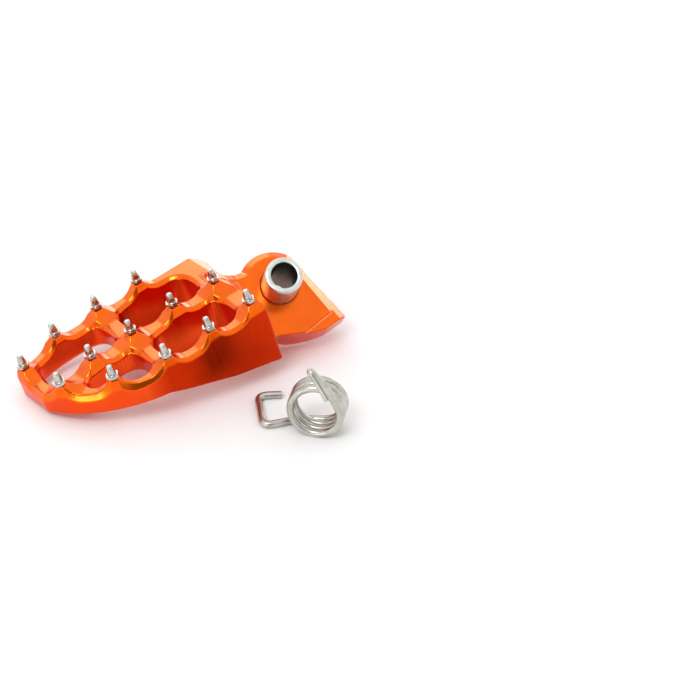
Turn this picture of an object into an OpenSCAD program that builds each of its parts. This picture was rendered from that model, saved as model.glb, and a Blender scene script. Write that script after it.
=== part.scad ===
// Motorcycle foot peg: a machined billet with screwed-in cleats, its pivot sleeve and its return spring.
// Millimetres, +Z up, z = 0 is the surface that the peg and the loose spring lie on.
// The peg is drawn in its own frame first: x runs inboard to the pivot lug, y runs across to the far
// rail, z is square to the platform, and 0 is the platform's centre at the height of the cleat tips.

/* [Rest pose] */
// Slope of the platform up to the lug, degrees
rise = 12.9; // [10:0.1:15]
// Slope of the platform down to the far rail, degrees
dip = 6.1; // [4:0.1:8]
// Height of the platform's centre above the surface, at cleat-tip level
tip_height = 28.44; // [27:0.1:30]
// Where the platform's centre stands, from the centre of everything on the surface
peg_place = [-22.66, 26.66];

/* [Platform] */
// Top of the cleat pedestals
rail_level = -5.6; // [-6:0.1:-5]
// Top of the webs between the pedestals
web_level = -9.8; // [-11:0.1:-9]
// Distance between cleats along a rail
pitch = 19; // [18:0.1:20]
// Near edge of the platform
near_y = -28; // [-29:0.1:-27.5]
// Far edge of the platform
far_y = 29.8; // [29.5:0.1:31]
// Inboard end of the platform at the near corner
inner_near_x = 42.3; // [41:0.1:43]
// Inboard end of the platform at the far corner
inner_far_x = 48.2; // [46:0.1:49]
// Where the bevel down to the inboard end starts
end_bevel_x = 42.8; // [42.4:0.1:44]
// Slope of that bevel, degrees
end_bevel_slope = 31; // [25:1:40]
// Radius of the swept near corner
sweep_r = 50.4; // [49:0.1:51]
// Radius of the pocket corners
pocket_r = 8.5; // [6:0.1:8.5]
// Radius of the outline's small corners
corner_r = 5; // [3:0.5:6]

/* [Lug] */
// Centre of the pivot on the lug's near face
pivot_at = [59, -8.7, -17.6];
// Rake of the pivot axis out of the platform's plane, degrees
pivot_rake = 45; // [40:1:50]
// Yaw of the pivot axis, degrees
pivot_yaw = -7.3; // [-9:0.1:-5]
// Thickness of the lug along the pivot
lug_t = 16; // [14:0.5:17]
// Radius of the lug's round top
hump_r = 14; // [13.5:0.1:14.5]
// Width of the bevel around the lug's near face
hump_bevel = 2.8; // [2:0.1:3.5]
// Depth of the stop pad below the lug's face
pad_d = 2.4; // [1.5:0.1:3]

/* [Sleeve] */
// Outside radius
sleeve_r = 7.2; // [7:0.05:7.5]
// Bore radius, for the bracket's pin
bore_r = 5; // [4.9:0.05:5.5]
// Length that stands out of the lug's near face
sleeve_out = 14; // [12:0.5:15]
// Radial running clearance of the peg body on the sleeve
run_gap = 0.04; // [0.02:0.01:0.1]

/* [Cleats] */
// Radius of the hexagonal collar, across corners
collar_r = 2.6; // [2.4:0.1:2.9]
// Height of the collar's top below the cleat's point
cone_h = 3.7; // [3.4:0.1:4]
// Thickness of the collar
collar_h = 1.4; // [1.2:0.1:1.6]
// Cone radius at the collar
cone_r = 1.8; // [1.6:0.05:2]
// Radius of the cleat's flat point
point_r = 1.1; // [0.9:0.05:1.4]
// Shank radius
shank_r = 1.5; // [1.3:0.1:1.6]
// Length of the shank below the pedestal
shank_l = 6; // [4:0.5:7]

/* [Return spring] */
// Wire radius
wire_r = 1.4; // [1.2:0.05:1.5]
// Mean radius of the coil
coil_r = 9.3; // [9:0.1:9.6]
// Distance between turns, just over the wire's thickness
coil_pitch = 3; // [3:0.05:3.2]
// Turns from the square hook to the long leg
turns = 3.34; // [3.3:0.01:3.38]
// Yaw of the coil's axis, degrees
coil_yaw = 11.4; // [8:0.1:14]
// Where the spring lies, from the platform's centre
spring_place = [38.3, -66.1];

/* [Hidden] */
$fn = 64;
over = 1;

// Each cleat's name, where it stands and how its pedestal is turned.
// Rails: a is the far one, b the middle one, c the near one, each counted from the lug
CLEATS = [
    ["cleat_a2", [18.7, 27.2], 0], ["cleat_a3", [-0.6, 26.4], 0],
    ["cleat_a4", [-20.2, 25.2], 8], ["cleat_a5", [-38.2, 17.6], -80],
    ["cleat_b1", [37.7, 0], 0], ["cleat_b2", [18.9, 0.6], 0], ["cleat_b3", [-0.5, 0], 0],
    ["cleat_b4", [-18.4, 0], 0], ["cleat_b5", [-34.6, -4.6], 35],
    ["cleat_c1", [38, -24.2], 0], ["cleat_c2", [19, -25.4], 0],
    ["cleat_c3", [-0.3, -25.2], 0], ["cleat_c4", [-19.6, -18.8], -28]
];

sweep_at = [5, near_y + sweep_r];
scallop_r = 9;
hump_at = [-1, 1.3];
scallop_dip = 0.15;
deep = 60;

// Points of an arc about c, with radius r, from angle a0 to a1
function arc(c, r, a0, a1, n = 12) =
    [for (i = [0:n]) c + r * [cos(a0 + (a1 - a0) * i / n), sin(a0 + (a1 - a0) * i / n)]];

function unit(v) = v / norm(v);

// Points that round the corner b between a and c, starting r before it and ending r after it
function bend(a, b, c, r, n = 6) =
    let (p = b + r * unit(a - b), q = b + r * unit(c - b))
    [for (i = [0:n]) let (t = i / n) (1 - t) * (1 - t) * p + 2 * t * (1 - t) * b + t * t * q];

// A closed outline whose corners are all rounded, by r or by what its sides leave room for
function rounded(pts, r) = [
    for (i = [0:len(pts) - 1])
        let (before = pts[(i + len(pts) - 1) % len(pts)], after = pts[(i + 1) % len(pts)])
        let (room = 0.48 * min(norm(before - pts[i]), norm(after - pts[i])))
        each bend(before, pts[i], after, min(r, room))
];

// Puts children from the peg's frame where the peg lies
module lying() {
    translate([peg_place[0], peg_place[1], tip_height]) rotate([-dip, -rise, 0]) children();
}

// Puts children from the pivot's frame, z along the pivot, into the peg's frame
module at_pivot() {
    translate(pivot_at) rotate([pivot_rake, 0, pivot_yaw]) children();
}

module platform_outline() {
    polygon(concat(
        bend([inner_far_x, far_y], [inner_near_x, near_y], [0, near_y], 1.6),
        arc(sweep_at, sweep_r, 270, 204, 20),
        arc([-37, 18.4], 4.7, 185, 118, 6),
        bend([-39.3, 22.4], [-22, far_y + 0.2], [40, far_y], 9),
        bend([0, far_y], [inner_far_x, far_y], [inner_near_x, near_y], corner_r)
    ));
}

// Side view of the billet, x and z: deep at the lug, thin at the outer end
module side_view() {
    polygon([
        [-50, 5], [-50, -17.3], [-4, -19.2], [22, -28.4], [42, -33.2], [48.2, -37.75],
        [54, -43.35], [90, -43.35], [90, 5]
    ]);
}

// One raised seat for a cleat, hollowed on all four sides
module pedestal(at, turn) {
    half = pitch / 2;
    top = rail_level - web_level;
    axis_z = web_level + scallop_r - scallop_dip;
    translate(at) rotate(turn) difference() {
        translate([-half + over, -half + over, web_level - over])
            cube([pitch - 2 * over, pitch - 2 * over, top + over]);
        for (side = [-1, 1]) {
            translate([side * half, 0, axis_z])
                rotate([90, 0, 0]) cylinder(r = scallop_r, h = 2 * pitch, center = true);
            translate([0, side * half, axis_z])
                rotate([0, 90, 0]) cylinder(r = scallop_r, h = 2 * pitch, center = true);
        }
    }
}

// The four pockets between the rails
module pockets() {
    translate([0, 0, -deep]) linear_extrude(deep) {
        polygon(rounded([[3.6, 5.4], [35.2, 5.4], [35.2, 24.6], [3.6, 24.6]], pocket_r));
        polygon(rounded([[2.9, -21.6], [35, -21.6], [35, -2.6], [2.9, -2.6]], pocket_r));
        polygon(rounded(
            [[-35.2, 2.5], [-20, 5.6], [-3.9, 5.6], [-3.9, 24.4], [-24, 22.8], [-34, 19.5]], pocket_r - 1
        ));
        polygon(rounded(
            [[-25.6, -10], [-14, -20.6], [-3.6, -20.6], [-3.6, -2.6], [-25.6, -5]], pocket_r - 1
        ));
    }
}

// What the bevel at the platform's inboard end takes away
module end_bevel() {
    translate([end_bevel_x, -deep, web_level]) rotate([0, end_bevel_slope, 0])
        difference() {
            translate([-deep, 0, 0]) cube([2 * deep, 2 * deep, deep]);
            rotate([0, -end_bevel_slope, 0]) translate([-2 * deep, -over, -deep])
                cube([2 * deep, 2 * deep + 2 * over, 3 * deep]);
        }
}

module platform() {
    difference() {
        intersection() {
            union() {
                translate([-deep, -deep, -deep]) cube([2 * deep, 2 * deep, deep + web_level]);
                for (c = CLEATS) pedestal(c[1], c[2]);
            }
            translate([0, 0, -deep]) linear_extrude(deep) platform_outline();
            rotate([90, 0, 0]) linear_extrude(2 * deep, center = true) side_view();
        }
        pockets();
        end_bevel();
    }
}

// Face of the lug below and beside its round top: the neck, the stop tail and the back underside
module lug_outline() {
    neck_y = hump_at[1] + hump_r - hump_bevel - 1.6;
    polygon([
        [-20, neck_y], [hump_at[0], neck_y], [6.5, 8.1], [12.8, 0],
        [16.4, -12], [18.4, -20.6], [17.6, -21.9], [14, -22.8], [8, -23],
        [2.5, -21.9], [-3, -20], [-10, -17.2], [-20, -16]
    ]);
}

// Round top of the lug, with a bevel round its near face
module hump() {
    translate([hump_at[0], hump_at[1], -lug_t]) rotate_extrude() polygon([
        [0, 0], [hump_r, 0], [hump_r, lug_t - hump_bevel], [hump_r - hump_bevel, lug_t], [0, lug_t]
    ]);
}

module lug() {
    difference() {
        intersection() {
            at_pivot() {
                hump();
                translate([0, 0, -lug_t]) linear_extrude(lug_t) lug_outline();
            }
            rotate([90, 0, 0]) linear_extrude(2 * deep, center = true) side_view();
        }
        at_pivot() {
            // broad bevel down the inboard side
            translate([9, 0, 0]) rotate([0, 0, 9.3]) rotate([0, 51, 0])
                translate([-30, -18.9, 0]) cube([60, 60, 30]);
            // stop pad
            translate([12, -18.4, -pad_d]) rotate([0, 0, 10.5])
                translate([-deep, -30, 0]) cube([deep + 30, 30, 30]);
        }
    }
}

module peg_body() {
    color("orangered") lying() difference() {
        union() {
            platform();
            lug();
        }
        at_pivot() cylinder(r = sleeve_r + run_gap, h = 80, center = true);
        for (c = CLEATS)
            translate([c[1][0], c[1][1], rail_level - shank_l - 0.5]) cylinder(r = shank_r, h = 10);
    }
}

module pivot_sleeve() {
    chamfer = 0.5;
    color("silver") lying() at_pivot() difference() {
        translate([0, 0, -lug_t]) rotate_extrude() polygon([
            [0, 0], [sleeve_r - chamfer, 0], [sleeve_r, chamfer],
            [sleeve_r, lug_t + sleeve_out - chamfer], [sleeve_r - chamfer, lug_t + sleeve_out],
            [0, lug_t + sleeve_out]
        ]);
        cylinder(r = bore_r, h = 90, center = true);
    }
}

// A cleat with its flat point at the origin: cone, hexagonal collar, neck and shank
module cleat() {
    neck_h = -rail_level - cone_h - collar_h;
    color("lightslategray") {
        translate([0, 0, -cone_h]) cylinder(r1 = cone_r, r2 = point_r, h = cone_h);
        translate([0, 0, -cone_h - collar_h]) cylinder(r = collar_r, h = collar_h, $fn = 6);
        translate([0, 0, rail_level]) cylinder(r = cone_r, h = neck_h);
        translate([0, 0, rail_level - shank_l]) cylinder(r = shank_r, h = shank_l);
    }
}

// The wire's centre line: square hook on the surface, coil, long leg and its U hook
hook = [[-14, 19.8, wire_r], [-23, 19, wire_r], [-20, -0.2, wire_r], [-7, 4.4, wire_r]];
coil_at = [0.8, 4.3, coil_r + wire_r];
leg = [[3.8, -6.4, 21.8], [0.4, -9, 28], [-3, -12.4, 34.8], [0.5, -13.6, 30.2], [3.9, -16.1, 24.4]];

function coil_point(angle) =
    let (toward = [-sin(coil_yaw), -cos(coil_yaw), 0], across = [cos(coil_yaw), -sin(coil_yaw), 0])
    coil_at + toward * coil_pitch * angle / 360 + coil_r * (across * sin(angle) - [0, 0, cos(angle)]);

coil = [for (i = [0:ceil(turns * 24)]) coil_point(min(i / 24, turns) * 360)];
wire = concat(
    [hook[0]], bend(hook[0], hook[1], hook[2], 4), bend(hook[1], hook[2], hook[3], 4),
    bend(hook[2], hook[3], coil[0], 4, 4), coil, bend(coil[len(coil) - 1], leg[0], leg[1], 3, 3),
    bend(leg[0], leg[1], leg[2], 3, 3), bend(leg[1], leg[2], leg[3], 3.6), [leg[4]]
);

// Direction of the wire at point i
function along(p, i) = unit(p[min(i + 1, len(p) - 1)] - p[max(i - 1, 0)]);

// Side directions that turn with the wire without twisting
function sides(p) = [
    for (i = 0, n = unit(cross(along(p, 0), [0, 0, 1])); i < len(p);
        i = i + 1, n = unit(n - (n * along(p, min(i, len(p) - 1))) * along(p, min(i, len(p) - 1)))) n
];

// A round wire of radius r along the points p
module sweep(p, r, facets = 12) {
    n = sides(p);
    rings = [
        for (i = [0:len(p) - 1], k = [0:facets - 1])
            let (a = 360 * k / facets) p[i] + r * (cos(a) * n[i] + sin(a) * cross(along(p, i), n[i]))
    ];
    last = (len(p) - 1) * facets;
    polyhedron(rings, concat(
        [[for (k = [0:facets - 1]) k]],
        [[for (k = [facets - 1:-1:0]) last + k]],
        [for (i = [0:len(p) - 2], k = [0:facets - 1])
            let (a = i * facets, next = (k + 1) % facets)
            [a + k, a + facets + k, a + facets + next, a + next]]
    ));
}

module return_spring() {
    color("gainsboro") translate([peg_place[0] + spring_place[0], peg_place[1] + spring_place[1], 0])
        rotate(-37.4) sweep(wire, wire_r);
}

peg_body();
pivot_sleeve();
return_spring();
for (c = CLEATS)
    lying() translate([c[1][0], c[1][1], 0]) cleat();
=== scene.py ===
"""A machined motorcycle foot peg with its pivot sleeve and loose return spring, in a plain pale studio."""

import math

import bmesh
import bpy
import numpy as np
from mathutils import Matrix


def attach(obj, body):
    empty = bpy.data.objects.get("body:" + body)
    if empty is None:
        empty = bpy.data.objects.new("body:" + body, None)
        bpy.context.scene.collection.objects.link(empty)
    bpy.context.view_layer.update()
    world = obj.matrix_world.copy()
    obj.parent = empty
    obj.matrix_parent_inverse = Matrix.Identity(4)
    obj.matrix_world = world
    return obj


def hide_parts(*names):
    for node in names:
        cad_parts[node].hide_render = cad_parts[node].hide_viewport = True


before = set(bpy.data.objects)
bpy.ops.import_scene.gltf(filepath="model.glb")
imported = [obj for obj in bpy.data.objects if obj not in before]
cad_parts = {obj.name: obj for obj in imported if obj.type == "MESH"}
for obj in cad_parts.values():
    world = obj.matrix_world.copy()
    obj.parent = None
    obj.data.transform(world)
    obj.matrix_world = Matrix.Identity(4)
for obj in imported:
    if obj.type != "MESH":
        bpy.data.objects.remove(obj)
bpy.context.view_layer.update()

import openvdb
from mathutils import Matrix, Vector

MM = Matrix.Scale(0.001, 4)

# ---------------------------------------------------------------------------------------------
# Sizes, in millimetres and degrees
# The peg's own frame: u inboard to the lug, v across to the far rail, w square to the platform,
# and 0 at the platform's centre at the height of the cleat tips
PEG_PLACE = (-22.66, 26.66)
TIP_HEIGHT = 28.44
RISE, DIP = 12.9, 6.1
PEG = (
    Matrix.Translation((*PEG_PLACE, TIP_HEIGHT))
    @ Matrix.Rotation(math.radians(-RISE), 4, "Y")
    @ Matrix.Rotation(math.radians(-DIP), 4, "X")
)

# The pivot's frame: z along the pivot, 0 on the lug's near face
PIVOT_AT = (59, -8.7, -17.6)
PIVOT_RAKE, PIVOT_YAW = 45, -7.3
PIVOT = (
    Matrix.Translation(PIVOT_AT)
    @ Matrix.Rotation(math.radians(PIVOT_YAW), 4, "Z")
    @ Matrix.Rotation(math.radians(PIVOT_RAKE), 4, "X")
)

# Platform
RAIL_LEVEL, WEB_LEVEL = -5.6, -9.8
PITCH = 19.0
SCALLOP_R, SCALLOP_DIP = 9.0, 0.15
NEAR_V, FAR_V = -28.0, 29.8
INNER_NEAR_U, INNER_FAR_U = 42.3, 48.2
SWEEP_R = 50.4
SWEEP_AT = (5.0, NEAR_V + SWEEP_R)
NEAR_CORNER, FAR_CORNER, OUTER_CORNER = 1.6, 5.5, 9
POCKET_R = 8.5
POCKET_BEVEL, POCKET_BEVEL_DEEP = 1.3, 1.4
END_BEVEL_U, END_BEVEL_SLOPE = 42.8, 31
EDGE_R = 0.22

# Lug
LUG_T = 16.0
HUMP_AT, HUMP_R, HUMP_BEVEL = (-1, 1.3), 14.0, 3.0
BROAD_BEVEL_X, BROAD_BEVEL_TILT, BROAD_BEVEL_TURN = 9, 51, 9.3
PAD_AT, PAD_TURN, PAD_D = (12, -18.4), 10.5, 2.4
LUG_FILLET = 2.4

# Sleeve
SLEEVE_R, BORE_R, SLEEVE_OUT = 7.2, 5.0, 14.0
RUN_GAP = 0.04

# Cleats
COLLAR_R, SHANK_R = 2.6, 1.2

# Each cleat's name, u, v and the turn of its pedestal
CLEATS = [
    ("cleat_a2", 18.7, 27.2, 0), ("cleat_a3", -0.6, 26.4, 0),
    ("cleat_a4", -20.2, 25.2, 8), ("cleat_a5", -38.2, 17.6, -80),
    ("cleat_b1", 37.7, 0, 0), ("cleat_b2", 18.9, 0.6, 0), ("cleat_b3", -0.5, 0, 0),
    ("cleat_b4", -18.4, 0, 0), ("cleat_b5", -34.6, -4.6, 35),
    ("cleat_c1", 38, -24.2, 0), ("cleat_c2", 19, -25.4, 0),
    ("cleat_c3", -0.3, -25.2, 0), ("cleat_c4", -19.6, -18.8, -28),
]

# Return spring
WIRE_R = 1.4
COIL_R, COIL_PITCH, TURNS, COIL_YAW = 9.3, 3.0, 3.34, 11.4
SPRING_PLACE = (PEG_PLACE[0] + 38.3, PEG_PLACE[1] - 66.1)
SPRING_TURN = -37.4


# ---------------------------------------------------------------------------------------------
# Outlines
def arc(centre, radius, start, end, steps=16):
    """Points of an arc, with its angles in degrees."""
    angles = np.radians(np.linspace(start, end, steps + 1))
    return [(centre[0] + radius * math.cos(a), centre[1] + radius * math.sin(a)) for a in angles]


def bend(before, corner, after, reach, steps=8):
    """Points that round a corner, from reach before it to reach after it."""
    before, corner, after = (np.array(p, float) for p in (before, corner, after))
    start = corner + reach * (before - corner) / np.linalg.norm(before - corner)
    end = corner + reach * (after - corner) / np.linalg.norm(after - corner)
    return [
        tuple((1 - t) ** 2 * start + 2 * t * (1 - t) * corner + t * t * end)
        for t in np.linspace(0, 1, steps + 1)
    ]


def rounded(points, reach):
    """A closed outline with every corner rounded, as far as its sides leave room."""
    out = []
    for i, p in enumerate(points):
        before, after = points[i - 1], points[(i + 1) % len(points)]
        room = 0.48 * min(math.dist(p, before), math.dist(p, after))
        out += bend(before, p, after, min(reach, room))
    return out


def platform_outline():
    """The platform from above: square inboard end, swept near corner, blunt outer end."""
    inner_far = (INNER_FAR_U, FAR_V)
    inner_near = (INNER_NEAR_U, NEAR_V)
    return (
        bend(inner_far, inner_near, (SWEEP_AT[0], NEAR_V), NEAR_CORNER)
        + arc(SWEEP_AT, SWEEP_R, 270, 204, 30)
        + arc((-37, 18.4), 4.7, 185, 118, 8)
        + bend((-39.3, 22.4), (-22, FAR_V + 0.2), (40, FAR_V), OUTER_CORNER)
        + bend((0, FAR_V), inner_far, inner_near, FAR_CORNER)
    )


POCKETS = [
    rounded([(3.6, 5.4), (35.2, 5.4), (35.2, 24.6), (3.6, 24.6)], POCKET_R),
    rounded([(2.9, -21.6), (35.0, -21.6), (35.0, -2.6), (2.9, -2.6)], POCKET_R),
    rounded(
        [(-35.2, 2.5), (-20, 5.6), (-3.9, 5.6), (-3.9, 24.4), (-24, 22.8), (-34, 19.5)], POCKET_R - 1
    ),
    rounded([(-25.6, -10), (-14, -20.6), (-3.6, -20.6), (-3.6, -2.6), (-25.6, -5)], POCKET_R - 1),
]

# Underside of the billet from the side, u and w: thin at the outer end, deep at the lug
UNDERSIDE = [
    (-60, -17.3), (-42, -17.3), (-4, -19.2), (22, -28.4), (42, -33.2),
    (48.2, -37.75), (54, -43.35), (99, -43.35),
]

# The lug along the pivot: round hump, inboard flank, stop tail, underside and neck
LUG_OUTLINE = (
    [(-22, 19), (-15, 13.9), (-12, 12.5)]
    + arc(HUMP_AT, HUMP_R, 128, -5, 24)
    + bend((16.4, -12), (18.7, -21.6), (14, -22.8), 1.2)
    + [(8, -23), (2.5, -21.9), (-3, -20), (-10, -17.2), (-22, -16)]
)


# ---------------------------------------------------------------------------------------------
# Signed distances, below 0 inside
def polygon_distance(x, y, points):
    """Distance to a closed outline."""
    p = np.array(points, np.float32)
    best = np.full(np.broadcast(x, y).shape, 1e9, np.float32)
    inside = np.zeros(best.shape, bool)
    for a, b in zip(p, np.roll(p, -1, 0)):
        e = b - a
        if not e.any():
            continue
        t = np.clip(((x - a[0]) * e[0] + (y - a[1]) * e[1]) / (e @ e), 0, 1)
        best = np.minimum(best, (x - a[0] - t * e[0]) ** 2 + (y - a[1] - t * e[1]) ** 2)
        if e[1] != 0:
            crosses = (a[1] > y) != (b[1] > y)
            inside ^= crosses & (x < a[0] + (y - a[1]) * e[0] / e[1])
    return np.where(inside, -1, 1) * np.sqrt(best)


def above(x, z, line):
    """Distance to the region above an open line of points."""
    return polygon_distance(x, z, list(line) + [(line[-1][0], 99), (line[0][0], 99)])


def cut(a, b, r):
    """The space in both a and b, with the edge between them rounded by r."""
    h = np.maximum(r - np.abs(a - b), 0)
    return np.maximum(a, b) + h * h * 0.25 / r


def join(a, b, r):
    """The space in a or b, with a fillet of about r between them."""
    return -cut(-a, -b, r)


def bevel(a, b, wide, deep, r=EDGE_R):
    """The space in both a and b, with a bevel between them: wide back from a, deep down from b."""
    face = (a / wide + b / deep + 1) / np.hypot(1 / wide, 1 / deep)
    return cut(cut(a, b, r), face, r)


# ---------------------------------------------------------------------------------------------
# The billet, as a grid of signed distances in the peg's frame
STEP = 0.34
LOW = np.array([-43.0, -30.5, -45.0])
HIGH = np.array([81.0, 32.5, -4.6])
U, V, W = (np.arange(low, high, STEP, dtype=np.float32) for low, high in zip(LOW, HIGH))
U3, V3, W3 = U[:, None, None], V[None, :, None], W[None, None, :]


def span(axis, low, high):
    """The grid points of one axis from low to high."""
    return slice(*np.searchsorted(axis, (low, high)))


def crown():
    """The platform's top: webs at one level, with a pedestal for each cleat, hollowed on four sides."""
    top = np.broadcast_to(W3 - WEB_LEVEL, (len(U), len(V), len(W))).copy()
    axis_w = WEB_LEVEL + SCALLOP_R - SCALLOP_DIP
    half = PITCH / 2
    reach = 1.45 * half
    for _, u, v, turn in CLEATS:
        part = (span(U, u - reach, u + reach), span(V, v - reach, v + reach), span(W, WEB_LEVEL - 3, 0))
        du, dv, w = U3[part[0]] - u, V3[:, part[1]] - v, W3[:, :, part[2]]
        c, s = math.cos(math.radians(turn)), math.sin(math.radians(turn))
        seat = w - RAIL_LEVEL
        for across in (np.abs(du * c + dv * s), np.abs(dv * c - du * s)):
            hollow = np.where(across < half, SCALLOP_R - np.hypot(half - across, w - axis_w), PITCH)
            seat = cut(seat, hollow, EDGE_R)
        top[part] = join(top[part], seat, 0.3)
    return top


def platform():
    """The platform with its bevelled rim and its four through pockets."""
    # a bevel slopes down to the inboard end, past the pedestals
    slope = math.radians(END_BEVEL_SLOPE)
    face = (U3 - END_BEVEL_U) * math.sin(slope) + (W3 - WEB_LEVEL) * math.cos(slope)
    top = cut(crown(), join(face, U3 - END_BEVEL_U, 0.6), EDGE_R)
    # the rim has a steep one, deep round the swept corner and slight on the far side
    outline = polygon_distance(U[:, None], V[None, :], platform_outline())[:, :, None]
    deep = np.interp(U3, (-16, -2), (2.7, 1.5)) * np.interp(V3, (12, 24), (1, 0.25))
    body = bevel(outline, top, 0.5 * deep, deep)
    body = cut(body, above(U[:, None], W[None, :], UNDERSIDE)[:, None, :], 0.6)
    for points in POCKETS:
        pocket = -polygon_distance(U[:, None], V[None, :], points)[:, :, None]
        body = bevel(pocket, body, POCKET_BEVEL, POCKET_BEVEL_DEEP)
    return body


def lug(near):
    """The pivot lug over the grid points near it, and the distance from the pivot's axis."""
    to_pivot = np.array(PIVOT.inverted(), np.float32)
    u = U3[near]
    x, y, z = (row[0] * u + row[1] * V3 + row[2] * W3 + row[3] for row in to_pivot[:3])
    radius = np.hypot(x, y)
    flank = polygon_distance(x, y, LUG_OUTLINE)
    body = cut(flank, np.maximum(z, -z - LUG_T), EDGE_R)
    # bevel round the near face of the hump and its neck
    round_bevel = (flank + z + HUMP_BEVEL) / math.sqrt(2)
    body = cut(body, np.where(y > 0, round_bevel, -PITCH), EDGE_R)
    # broad bevel down the inboard side
    tilt, turn = math.radians(BROAD_BEVEL_TILT), math.radians(BROAD_BEVEL_TURN)
    out = (math.sin(tilt) * math.cos(turn), math.sin(tilt) * math.sin(turn), math.cos(tilt))
    body = cut(body, out[0] * (x - BROAD_BEVEL_X) + out[1] * y + out[2] * z, EDGE_R)
    # stop pad, one step below the face
    turn = math.radians(PAD_TURN)
    beyond = (x - PAD_AT[0]) * math.sin(turn) - (y - PAD_AT[1]) * math.cos(turn)
    body = cut(body, np.minimum(beyond, z + PAD_D), 0.2)
    under = above(U[near, None], W[None, :], UNDERSIDE)[:, None, :]
    return cut(body, under, EDGE_R), radius


def sharpness(points, normals, quads):
    """How far each vertex stands proud of its neighbours, as a share of the grid step."""
    count = np.bincount(quads.ravel(), minlength=len(points))
    across = points[quads].mean(1)
    mean = np.stack([
        np.bincount(quads.ravel(), np.repeat(across[:, axis], 4), len(points)) for axis in range(3)
    ], 1) / np.maximum(count, 1)[:, None]
    return np.clip(((points - mean) * normals).sum(1) / STEP, 0, 1)


def billet_mesh():
    """The billet's mesh: the surface where the distance is 0, with how sharp each edge is."""
    body = platform()
    near = span(U, 36, HIGH[0])
    tab, radius = lug(near)
    body[near] = join(body[near], tab, LUG_FILLET)
    body[near] = bevel(SLEEVE_R + RUN_GAP - radius, body[near], 0.5, 0.5, 0.1)
    band = 3 * STEP
    grid = openvdb.FloatGrid(band)
    grid.copyFromArray(np.ascontiguousarray(np.clip(body, -band, band), dtype=np.float32))
    points, quads = grid.convertToQuads()
    mesh = bpy.data.meshes.new("peg_billet")
    mesh.vertices.add(len(points))
    mesh.vertices.foreach_set("co", (points * STEP + LOW).astype(np.float32).ravel())
    mesh.loops.add(quads.size)
    mesh.loops.foreach_set("vertex_index", quads[:, ::-1].astype(np.int32).ravel())
    mesh.polygons.add(len(quads))
    mesh.polygons.foreach_set("loop_start", np.arange(0, quads.size, 4, dtype=np.int32))
    mesh.update(calc_edges=True)
    mesh.validate()
    mesh.shade_smooth()
    normals = np.empty(points.size, np.float32)
    mesh.vertices.foreach_get("normal", normals)
    # how sharp each vertex is, stored for the painted highlight on the edges
    edge = mesh.attributes.new("edge", "FLOAT", "POINT")
    proud = sharpness(points * STEP, normals.reshape(-1, 3), quads.astype(np.int64))
    edge.data.foreach_set("value", proud.astype(np.float32))
    return mesh


# ---------------------------------------------------------------------------------------------
# Turned pieces and wire
def finished(bm, name):
    """The mesh of bm, smooth but for its sharp edges."""
    bmesh.ops.recalc_face_normals(bm, faces=bm.faces)
    mesh = bpy.data.meshes.new(name)
    bm.to_mesh(mesh)
    bm.free()
    mesh.shade_smooth()
    mesh.set_sharp_from_angle(angle=math.radians(32))
    return mesh


def turned(name, rows, segments, looped=False):
    """A mesh turned about z from rows of z and radius, or z, radius and half the width across flats."""
    bm = bmesh.new()
    rings = []
    for z, radius, *flats in rows:
        ring = []
        for i in range(segments):
            angle = 2 * math.pi * i / segments
            r = radius
            if flats:
                r = min(r, flats[0] / math.cos(angle % (math.pi / 3) - math.pi / 6))
            ring.append(bm.verts.new((r * math.cos(angle), r * math.sin(angle), z)))
        rings.append(ring)
    for i in range(len(rings) if looped else len(rings) - 1):
        low, high = rings[i], rings[(i + 1) % len(rings)]
        for j in range(segments):
            k = (j + 1) % segments
            bm.faces.new((low[j], low[k], high[k], high[j]))
    if not looped:
        bm.faces.new(rings[0])
        bm.faces.new(rings[-1])
    return finished(bm, name)


def cleat_mesh(name):
    """A screwed-in cleat with its point at the origin: blunt cone, hexagonal collar, neck and shank."""
    flats = COLLAR_R * math.cos(math.pi / 6)
    return turned(name, [
        (0, 0.62), (-0.05, 0.86), (-0.2, 1.04), (-0.5, 1.15), (-3.4, 1.7), (-3.62, 1.62), (-3.7, 1.7),
        (-3.72, 2.35, flats), (-3.9, COLLAR_R, flats), (-4.75, COLLAR_R, flats), (-5.0, 2.3, flats),
        (-5.02, 1.6), (-5.5, 1.4), (-5.7, SHANK_R), (-11.4, SHANK_R), (-11.6, SHANK_R - 0.2),
    ], 48)


def sleeve_mesh(name):
    """The plain sleeve along the pivot, with rounded rims and a lightly countersunk bore."""
    low, high = -LUG_T, SLEEVE_OUT
    return turned(name, [
        (high - 0.7, SLEEVE_R), (high - 0.35, SLEEVE_R - 0.1), (high - 0.1, SLEEVE_R - 0.35),
        (high, SLEEVE_R - 0.7), (high, BORE_R + 0.45), (high - 0.12, BORE_R + 0.16), (high - 0.45, BORE_R),
        (low + 0.45, BORE_R), (low, BORE_R + 0.45), (low, SLEEVE_R - 0.5), (low + 0.5, SLEEVE_R),
    ], 96, looped=True)


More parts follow.
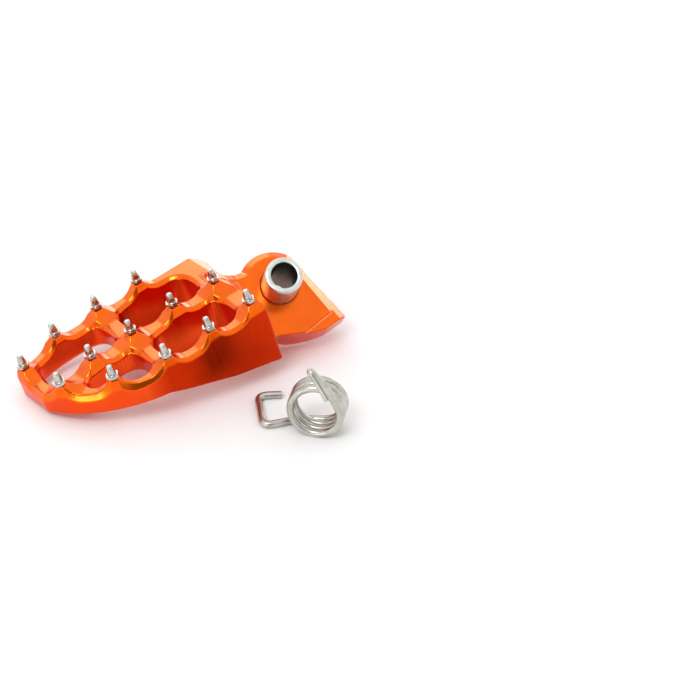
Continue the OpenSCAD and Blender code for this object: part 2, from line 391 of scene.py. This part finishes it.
def spring_route():
    """The spring's centre line: square hook on the surface, close coil, long leg and its U hook."""
    hook = [(-14, 19.8, WIRE_R), (-23, 19, WIRE_R), (-20, -0.2, WIRE_R), (-7, 4.4, WIRE_R)]
    coil_at = np.array((0.8, 4.3, COIL_R + WIRE_R))
    leg = [(3.8, -6.4, 21.8), (0.4, -9, 28), (-3, -12.4, 34.8), (0.5, -13.6, 30.2), (3.9, -16.1, 24.4)]
    yaw = math.radians(COIL_YAW)
    toward = np.array((-math.sin(yaw), -math.cos(yaw), 0))
    across = np.array((math.cos(yaw), -math.sin(yaw), 0))
    coil = []
    for turn in np.linspace(0, TURNS, round(TURNS * 60) + 1):
        a = 2 * math.pi * turn
        out = across * math.sin(a) - np.array((0, 0, math.cos(a)))
        coil.append(tuple(coil_at + toward * COIL_PITCH * turn + COIL_R * out))
    return (
        [hook[0]] + bend(hook[0], hook[1], hook[2], 4) + bend(hook[1], hook[2], hook[3], 4)
        + bend(hook[2], hook[3], coil[0], 4) + coil[1:-1] + bend(coil[-1], leg[0], leg[1], 3)
        + bend(leg[0], leg[1], leg[2], 3) + bend(leg[1], leg[2], leg[3], 3.6, 14) + [leg[4]]
    )


def swept(name, points, radius, sides=20):
    """A round wire along the points, chamfered at its ends, with its length and girth as UVs."""
    points = np.array(points, float)
    along = np.gradient(points, axis=0)
    along /= np.linalg.norm(along, axis=1)[:, None]
    lengths = np.concatenate(([0], np.cumsum(np.linalg.norm(np.diff(points, axis=0), axis=1))))
    chamfer = 0.2 * radius
    rows = [(points[0] - along[0] * chamfer, along[0], radius - chamfer, 0)]
    rows += [(p, t, radius, s) for p, t, s in zip(points, along, lengths)]
    rows += [(points[-1] + along[-1] * chamfer, along[-1], radius - chamfer, lengths[-1])]
    bm = bmesh.new()
    uv = bm.loops.layers.uv.new("wire")
    side = np.cross(along[0], (0, 0, 1))
    rings = []
    for at, t, r, _ in rows:
        side = side - t * (side @ t)
        side /= np.linalg.norm(side)
        other = np.cross(t, side)
        angles = [2 * math.pi * k / sides for k in range(sides)]
        rings.append([bm.verts.new(at + r * (math.cos(a) * side + math.sin(a) * other)) for a in angles])
    for i in range(len(rows) - 1):
        for k in range(sides):
            j = (k + 1) % sides
            face = bm.faces.new((rings[i][k], rings[i + 1][k], rings[i + 1][j], rings[i][j]))
            corners = ((i, k), (i + 1, k), (i + 1, k + 1), (i, k + 1))
            for loop, (row, turn) in zip(face.loops, corners):
                loop[uv].uv = (rows[row][3], turn / sides)
    bm.faces.new(rings[0])
    bm.faces.new(rings[-1])
    return finished(bm, name)


# ---------------------------------------------------------------------------------------------
# Materials
class Shading:
    """A material's nodes, with short ways to add and link them."""

    def __init__(self, name, **values):
        self.material = bpy.data.materials.new(name)
        self.material.use_nodes = True
        self.nodes = self.material.node_tree.nodes
        self.links = self.material.node_tree.links
        self.shader = self.nodes["Principled BSDF"]
        for socket, value in values.items():
            self.shader.inputs[socket.replace("_", " ")].default_value = value

    def add(self, kind, inputs=None, **settings):
        node = self.nodes.new("ShaderNode" + kind)
        for key, value in settings.items():
            setattr(node, key, value)
        for key, value in (inputs or {}).items():
            if isinstance(value, bpy.types.NodeSocket):
                self.links.new(value, node.inputs[key])
            else:
                node.inputs[key].default_value = value
        return node

    def drive(self, socket, value):
        self.links.new(value, self.shader.inputs[socket])

    def local(self, vector, place, point=True):
        """A point on the piece, or a direction, as it is in a frame given in millimetres."""
        inputs = {"Vector": vector, "Rotation": place.to_euler("XYZ")}
        if point:
            inputs["Location"] = MM @ place.translation
        return self.add("Mapping", inputs, vector_type="TEXTURE").outputs["Vector"]

    def stretch(self, vector, factors):
        return self.add("VectorMath", {0: vector, 1: factors}, operation="MULTIPLY").outputs["Vector"]

    def noise(self, vector, size, detail=2.0):
        """Noise whose features are about size metres across."""
        inputs = {"Vector": vector, "Scale": 1 / size, "Detail": detail}
        return self.add("TexNoise", inputs).outputs["Fac"]

    def remap(self, value, low, high, to_low, to_high):
        inputs = {"Value": value, "From Min": low, "From Max": high, "To Min": to_low, "To Max": to_high}
        return self.add("MapRange", inputs).outputs["Result"]

    def ramp(self, value, stops):
        node = self.add("ValToRGB", {"Fac": value})
        elements = node.color_ramp.elements
        for _ in stops[2:]:
            elements.new(0.5)
        for element, (at, colour) in zip(elements, stops):
            element.position = at
            element.color = (*colour, 1)
        return node.outputs["Color"]

    def mix(self, factor, a, b, blend="MIX"):
        node = self.add("Mix", {0: factor}, data_type="RGBA", blend_type=blend)
        for socket, value in ((node.inputs[6], a), (node.inputs[7], b)):
            if isinstance(value, bpy.types.NodeSocket):
                self.links.new(value, socket)
            else:
                socket.default_value = (*value, 1)
        return node.outputs[2]

    def bump(self, height, strength, depth):
        node = self.add("Bump", {"Height": height, "Strength": strength, "Distance": depth})
        self.drive("Normal", node.outputs["Normal"])


def anodised():
    """Orange anodising under a clear skin, with painted light and shade: deep red-orange on the walls,
    lighter on the tops.
    """
    s = Shading("orange_anodised", Metallic=1.0, Coat_Roughness=0.06, Coat_IOR=1.5)
    coords = s.add("TexCoord").outputs
    place = s.local(coords["Object"], PEG)
    facing = s.local(coords["Normal"], PEG, point=False)
    upward = s.add("SeparateXYZ", {0: facing}).outputs["Z"]
    # painted shade: the outer near wall is deeper red than the walls behind it
    inward = s.remap(s.add("SeparateXYZ", {0: place}).outputs["Y"], -0.0275, -0.025, 0, 1)
    wall = s.mix(inward, (0.55, 0.026, 0.001), (0.92, 0.085, 0.012))
    # painted light: faces turned upward get a lighter orange than the walls
    level = s.remap(upward, 0.12, 0.3, 0, 1)
    tone = s.mix(level, wall, (1.0, 0.15, 0.003))
    s.drive("Coat Weight", s.remap(upward, 0.1, 1.0, 0.02, 0.4))
    # slow drift of the dye's depth, and a painted highlight that lightens the sharp edges
    drift = s.ramp(s.noise(place, 0.012), [(0.3, (0.9, 0.84, 0.8)), (0.7, (1, 1, 1))])
    tone = s.mix(1.0, tone, drift, "MULTIPLY")
    # painted highlight: how sharp the surface is turns the edges toward cream
    proud = s.add("Attribute", attribute_name="edge").outputs["Fac"]
    edge = s.remap(proud, 0.016, 0.05, 0, 0.6)
    s.drive("Base Color", s.mix(edge, tone, (1.0, 0.56, 0.25)))
    # cutter marks: lengthwise on the tops, and up and down on the walls
    along = s.noise(s.stretch(place, (0.08, 1, 1)), 0.00045)
    upright = s.noise(s.stretch(place, (1, 1, 0.05)), 0.0012)
    marks = s.add("Mix", {0: level, 2: upright, 3: along}).outputs[0]
    s.bump(marks, 0.25, 0.00003)
    s.drive("Roughness", s.remap(marks, 0.3, 0.7, 0.17, 0.27))
    return s.material


def cleat_steel():
    """Bright turned steel, with painted shade making it darker and duller below the collar."""
    s = Shading("cleat_steel", Metallic=1.0)
    place = s.local(s.add("TexCoord").outputs["Object"], PEG)
    height = s.add("SeparateXYZ", {0: place}).outputs["Z"]
    # painted shade: near black below the collar, in the gap under it
    lit = s.remap(height, -0.0058, -0.0044, 0, 1)
    tone = s.ramp(lit, [(0.4, (0.04, 0.035, 0.03)), (0.6, (0.6, 0.59, 0.56))])
    smudge = s.ramp(s.noise(place, 0.0016), [(0.35, (0.78, 0.77, 0.74)), (0.65, (1, 1, 1))])
    s.drive("Base Color", s.mix(1.0, tone, smudge, "MULTIPLY"))
    rings = s.noise(s.stretch(place, (0.05, 0.05, 1)), 0.00018)
    s.bump(rings, 0.2, 0.00002)
    s.drive("Roughness", s.remap(rings, 0.3, 0.7, 0.14, 0.26))
    return s.material


def plated_steel():
    """Zinc-plated steel: satin, slightly mottled, turned on its outside."""
    s = Shading("plated_steel", Metallic=1.0)
    place = s.local(s.add("TexCoord").outputs["Object"], PEG @ PIVOT)
    mottle = s.noise(place, 0.0025, 4)
    s.drive("Base Color", s.ramp(mottle, [(0.3, (0.6, 0.62, 0.58)), (0.7, (0.78, 0.79, 0.75))]))
    rings = s.noise(s.stretch(place, (0.04, 0.04, 1)), 0.00025)
    s.bump(s.add("Mix", {0: 0.5, 2: mottle, 3: rings}).outputs[0], 0.25, 0.00005)
    s.drive("Roughness", s.remap(mottle, 0.3, 0.7, 0.3, 0.46))
    return s.material


def bore_steel():
    """The sleeve's bore: dull steel with lengthwise scoring, painted dark as the shade down inside it."""
    s = Shading("bore_steel", Metallic=1.0)
    place = s.local(s.add("TexCoord").outputs["Object"], PEG @ PIVOT)
    score = s.noise(s.stretch(place, (1, 1, 0.06)), 0.0012)
    # painted shade: the bore is near black, with the scoring varying it
    s.drive("Base Color", s.ramp(score, [(0.3, (0.1, 0.1, 0.075)), (0.7, (0.2, 0.2, 0.16))]))
    s.bump(score, 0.3, 0.00005)
    s.drive("Roughness", s.remap(score, 0.3, 0.7, 0.3, 0.45))
    return s.material


def spring_wire():
    """Drawn steel wire: satin, with fine lines along its length."""
    s = Shading("spring_wire", Metallic=1.0)
    coords = s.add("TexCoord").outputs
    lines = s.noise(s.stretch(coords["UV"], (0.12, 8, 1)), 0.5)
    stain = s.noise(coords["Object"], 0.004, 3)
    tone = s.ramp(stain, [(0.3, (0.42, 0.41, 0.36)), (0.7, (0.62, 0.61, 0.56))])
    s.drive("Base Color", tone)
    s.bump(lines, 0.2, 0.00004)
    s.drive("Roughness", s.remap(lines, 0.3, 0.7, 0.24, 0.4))
    return s.material


# ---------------------------------------------------------------------------------------------
# Pieces
def add(name, mesh, place, body, materials, node):
    """A piece drawn in millimetres, put in its place, that rides on a body and stands for a CAD node."""
    mesh.transform(MM @ place)
    for material in materials:
        mesh.materials.append(material)
    piece = bpy.data.objects.new(name, mesh)
    bpy.context.scene.collection.objects.link(piece)
    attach(piece, body)
    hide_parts(node)
    return piece


# the last material, for the bore, has painted shade
orange, bright, zinc, shaded_bore = anodised(), cleat_steel(), plated_steel(), bore_steel()

add("peg_billet", billet_mesh(), PEG, "peg", [orange], "peg_body")

for name, u, v, _ in CLEATS:
    spike = cleat_mesh(name + "_turned")
    add(spike.name, spike, PEG @ Matrix.Translation((u, v, 0)), "peg", [bright], name)

tube = sleeve_mesh("sleeve_tube")
for face in tube.polygons:
    face.material_index = int(face.center.xy.length < BORE_R)
add("sleeve_tube", tube, PEG @ PIVOT, "sleeve", [zinc, shaded_bore], "pivot_sleeve")

spring_at = Matrix.Translation((*SPRING_PLACE, 0)) @ Matrix.Rotation(math.radians(SPRING_TURN), 4, "Z")
coil = swept("spring_coil", spring_route(), WIRE_R)
add("spring_coil", coil, spring_at, "spring", [spring_wire()], "return_spring")


# ---------------------------------------------------------------------------------------------
# Studio, in metres
CENTRE = Vector((0, 0, 0.02))


def toward(azimuth, elevation):
    """A direction: azimuth clockwise from +Y, elevation up from the floor."""
    a, e = math.radians(azimuth), math.radians(elevation)
    return Vector((math.sin(a) * math.cos(e), math.cos(a) * math.cos(e), math.sin(e)))


def camera():
    cam = bpy.data.cameras.new("camera")
    cam.lens = 89.97
    cam.sensor_width = 36
    obj = bpy.data.objects.new("camera", cam)
    bpy.context.scene.collection.objects.link(obj)
    obj.location = Vector((-0.28786, -0.45584, 0.37674))
    target = Vector((0.05594, -0.00574, 0.00044))
    obj.rotation_euler = (target - obj.location).to_track_quat("-Z", "Y").to_euler()
    bpy.context.scene.camera = obj


def floor():
    s = 3.0
    mesh = bpy.data.meshes.new("floor")
    mesh.from_pydata([(-s, -s, 0), (s, -s, 0), (s, s, 0), (-s, s, 0)], [], [(0, 1, 2, 3)])
    pale = Shading("floor", Base_Color=(0.92, 0.92, 0.92, 1), Roughness=0.7)
    mesh.materials.append(pale.material)
    obj = bpy.data.objects.new("floor", mesh)
    bpy.context.scene.collection.objects.link(obj)


def softbox(name, azimuth, elevation, size, radiance, distance=0.9):
    """A soft light that faces the object, as bright as radiance times the white surroundings."""
    light = bpy.data.lights.new(name, "AREA")
    light.shape = "RECTANGLE"
    light.size, light.size_y = size
    light.energy = radiance * math.pi * size[0] * size[1]
    obj = bpy.data.objects.new(name, light)
    obj.location = CENTRE + distance * toward(azimuth, elevation)
    obj.rotation_euler = (CENTRE - obj.location).to_track_quat("-Z", "Y").to_euler()
    obj.visible_camera = False
    bpy.context.scene.collection.objects.link(obj)


def surroundings():
    """White all round, with a dim side that gives the steel its contrast."""
    world = bpy.data.worlds.new("world")
    world.use_nodes = True
    nodes, links = world.node_tree.nodes, world.node_tree.links
    coords = nodes.new("ShaderNodeTexCoord")
    lobe = nodes.new("ShaderNodeVectorMath")
    lobe.operation = "DOT_PRODUCT"
    lobe.inputs[1].default_value = toward(-140, 12)
    links.new(coords.outputs["Generated"], lobe.inputs[0])
    dim = nodes.new("ShaderNodeMapRange")
    dim.interpolation_type = "SMOOTHSTEP"
    for socket, value in (("From Min", 0.7), ("From Max", 0.97), ("To Min", 1.0), ("To Max", 0.2)):
        dim.inputs[socket].default_value = value
    links.new(lobe.outputs["Value"], dim.inputs["Value"])
    links.new(dim.outputs["Result"], nodes["Background"].inputs["Strength"])
    nodes["Background"].inputs["Color"].default_value = (1, 1, 1, 1)
    bpy.context.scene.world = world


camera()
floor()
surroundings()
softbox("back", 14, 32, (0.7, 0.35), 1.15, 1.1)
softbox("left_high", -119, 51, (0.4, 0.3), 7)
softbox("left_low", -110, 2.5, (0.3, 0.11), 8)
softbox("right_low", 37, 6, (0.3, 0.2), 2)
softbox("right", 66, 4, (0.15, 0.2), 3)
bpy.context.scene.view_settings.view_transform = "Standard"
